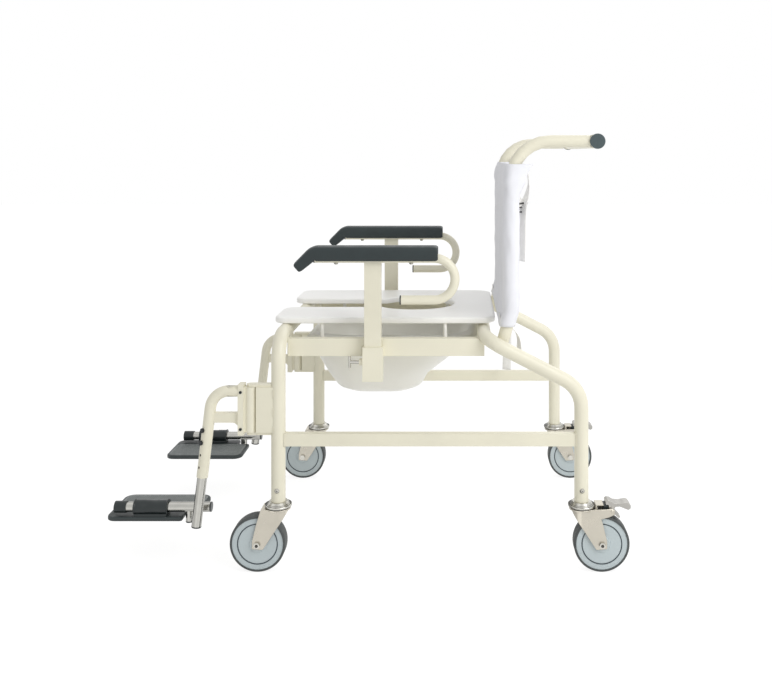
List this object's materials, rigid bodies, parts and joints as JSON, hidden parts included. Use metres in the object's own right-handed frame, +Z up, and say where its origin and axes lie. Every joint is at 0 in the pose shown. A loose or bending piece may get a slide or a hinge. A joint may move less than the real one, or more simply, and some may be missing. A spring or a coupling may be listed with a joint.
{
  "type": "mobile shower chair",
  "caption": "Wheeled shower and commode chair with tubular frame, horseshoe seat board, lift-off arms, swing-away footrests, fabric back and braked casters",
  "frame": {"origin": "floor level under the middle of the bounding box", "axes": "X fore and aft with the chair facing -X, Y across with the occupant's right toward +Y, Z up"},
  "size_m": [1.19, 0.6386, 0.9835],
  "materials": {
    "frame_paint": "gloss powder coat",
    "dark_plastic": "matte",
    "dark_steel": "satin",
    "zinc": "bright zinc",
    "fork_steel": "satin",
    "chrome_tube": "satin",
    "white_cloth": "woven",
    "buckle": "satin",
    "seat_white": "glossy",
    "pan_white": "satin",
    "pad": "satin moulded foam skin",
    "plate": "fine textured",
    "wheel_grey": "satin",
    "tyre": "rubber"
  },
  "bodies": {
    "frame": {"front_leg_frame": "frame_paint", "rear_leg_frame": "frame_paint", "lower_rails": "frame_paint", "upper_rail_left": "frame_paint", "upper_rail_right": "frame_paint", "back_upright_left": "frame_paint", "back_upright_right": "frame_paint", "push_bar": "frame_paint", "push_bar_caps": "dark_plastic", "arm_sockets": "frame_paint", "footrest_bracket_left": "frame_paint", "footrest_bracket_right": "frame_paint", "caster_heads": "zinc", "leg_screws": "zinc", "back_cover": "white_cloth", "back_straps": "white_cloth", "strap_buckles": "buckle"},
    "seat": {"seat_board": "seat_white", "seat_pegs": "seat_white"},
    "pan": {"commode_pan": "pan_white"},
    "arm_left": {"arm_frame_left": "frame_paint", "arm_pad_left": "pad", "arm_plugs_left": "dark_plastic", "arm_screws_left": "zinc"},
    "arm_lock_left": {"arm_lock_left": "zinc"},
    "hanger_left": {"hanger_left": "frame_paint", "hanger_bolts_left": "dark_steel"},
    "extension_left": {"extension_left": "chrome_tube", "foot_caps_left": "dark_plastic"},
    "footplate_left": {"footplate_left": "plate"},
    "arm_right": {"arm_frame_right": "frame_paint", "arm_pad_right": "pad", "arm_plugs_right": "dark_plastic", "arm_screws_right": "zinc"},
    "arm_lock_right": {"arm_lock_right": "zinc"},
    "hanger_right": {"hanger_right": "frame_paint", "hanger_bolts_right": "dark_steel"},
    "extension_right": {"extension_right": "chrome_tube", "foot_caps_right": "dark_plastic"},
    "footplate_right": {"footplate_right": "plate"},
    "caster_front_left": {"fork_front_left": "fork_steel", "axle_front_left": "zinc"},
    "wheel_front_left": {"wheel_front_left": "wheel_grey", "tyre_front_left": "tyre"},
    "caster_front_right": {"fork_front_right": "fork_steel", "axle_front_right": "zinc"},
    "wheel_front_right": {"wheel_front_right": "wheel_grey", "tyre_front_right": "tyre"},
    "caster_rear_left": {"fork_rear_left": "fork_steel", "axle_rear_left": "zinc", "brake_block_left": "dark_plastic"},
    "wheel_rear_left": {"wheel_rear_left": "wheel_grey", "tyre_rear_left": "tyre"},
    "brake_left": {"brake_pedal_left": "zinc"},
    "caster_rear_right": {"fork_rear_right": "fork_steel", "axle_rear_right": "zinc", "brake_block_right": "dark_plastic"},
    "wheel_rear_right": {"wheel_rear_right": "wheel_grey", "tyre_rear_right": "tyre"},
    "brake_right": {"brake_pedal_right": "zinc"}
  },
  "joints": [
    {"name": "seat_lift", "type": "slide", "parent": "frame", "child": "seat", "axis": [0, 0, 1], "range_m": [0, 0.1]},
    {"name": "pan_slide", "type": "slide", "parent": "frame", "child": "pan", "axis": [1, 0, 0], "range_m": [0, 0.42]},
    {"name": "arm_lift_left", "type": "slide", "parent": "frame", "child": "arm_left", "axis": [0, 0, 1], "range_m": [0, 0.1]},
    {"name": "arm_lock_turn_left", "type": "hinge", "parent": "frame", "child": "arm_lock_left", "pos_m": [-0.03, -0.2748, 0.464], "axis": [1, 0, 0], "range_deg": [-360, 0]},
    {"name": "hanger_swing_left", "type": "hinge", "parent": "frame", "child": "hanger_left", "pos_m": [-0.26, -0.29, 0.362], "axis": [0, 0, 1], "range_deg": [0, 90]},
    {"name": "extension_slide_left", "type": "slide", "parent": "hanger_left", "child": "extension_left", "axis": [-0.1175, 0, -0.9931], "range_m": [0, 0.056]},
    {"name": "footplate_flip_left", "type": "hinge", "parent": "extension_left", "child": "footplate_left", "pos_m": [-0.5, -0.258, 0.128], "axis": [1, 0, 0], "range_deg": [0, 90]},
    {"name": "arm_lift_right", "type": "slide", "parent": "frame", "child": "arm_right", "axis": [0, 0, 1], "range_m": [0, 0.1]},
    {"name": "arm_lock_turn_right", "type": "hinge", "parent": "frame", "child": "arm_lock_right", "pos_m": [-0.03, 0.2748, 0.464], "axis": [1, 0, 0], "range_deg": [-360, 0]},
    {"name": "hanger_swing_right", "type": "hinge", "parent": "frame", "child": "hanger_right", "pos_m": [-0.26, 0.29, 0.362], "axis": [0, 0, 1], "range_deg": [-90, 0]},
    {"name": "extension_slide_right", "type": "slide", "parent": "hanger_right", "child": "extension_right", "axis": [-0.1175, 0, -0.9931], "range_m": [0, 0.056]},
    {"name": "footplate_flip_right", "type": "hinge", "parent": "extension_right", "child": "footplate_right", "pos_m": [-0.5, 0.258, 0.128], "axis": [1, 0, 0], "range_deg": [-90, 0]},
    {"name": "swivel_front_left", "type": "hinge", "parent": "frame", "child": "caster_front_left", "pos_m": [-0.198, -0.29, 0.1395], "axis": [0, 0, 1], "continuous": true},
    {"name": "roll_front_left", "type": "hinge", "parent": "caster_front_left", "child": "wheel_front_left", "pos_m": [-0.242, -0.29, 0.0625], "axis": [0, 1, 0], "continuous": true},
    {"name": "swivel_front_right", "type": "hinge", "parent": "frame", "child": "caster_front_right", "pos_m": [-0.198, 0.29, 0.1395], "axis": [0, 0, 1], "continuous": true},
    {"name": "roll_front_right", "type": "hinge", "parent": "caster_front_right", "child": "wheel_front_right", "pos_m": [-0.242, 0.29, 0.0625], "axis": [0, 1, 0], "continuous": true},
    {"name": "swivel_rear_left", "type": "hinge", "parent": "frame", "child": "caster_rear_left", "pos_m": [0.486, -0.29, 0.1395], "axis": [0, 0, 1], "continuous": true},
    {"name": "roll_rear_left", "type": "hinge", "parent": "caster_rear_left", "child": "wheel_rear_left", "pos_m": [0.53, -0.29, 0.0625], "axis": [0, 1, 0], "continuous": true},
    {"name": "brake_press_left", "type": "hinge", "parent": "caster_rear_left", "child": "brake_left", "pos_m": [0.552, -0.29, 0.137], "axis": [0, 1, 0], "range_deg": [0, 14]},
    {"name": "swivel_rear_right", "type": "hinge", "parent": "frame", "child": "caster_rear_right", "pos_m": [0.486, 0.29, 0.1395], "axis": [0, 0, 1], "continuous": true},
    {"name": "roll_rear_right", "type": "hinge", "parent": "caster_rear_right", "child": "wheel_rear_right", "pos_m": [0.53, 0.29, 0.0625], "axis": [0, 1, 0], "continuous": true},
    {"name": "brake_press_right", "type": "hinge", "parent": "caster_rear_right", "child": "brake_right", "pos_m": [0.552, 0.29, 0.137], "axis": [0, 1, 0], "range_deg": [0, 14]}
  ]
}
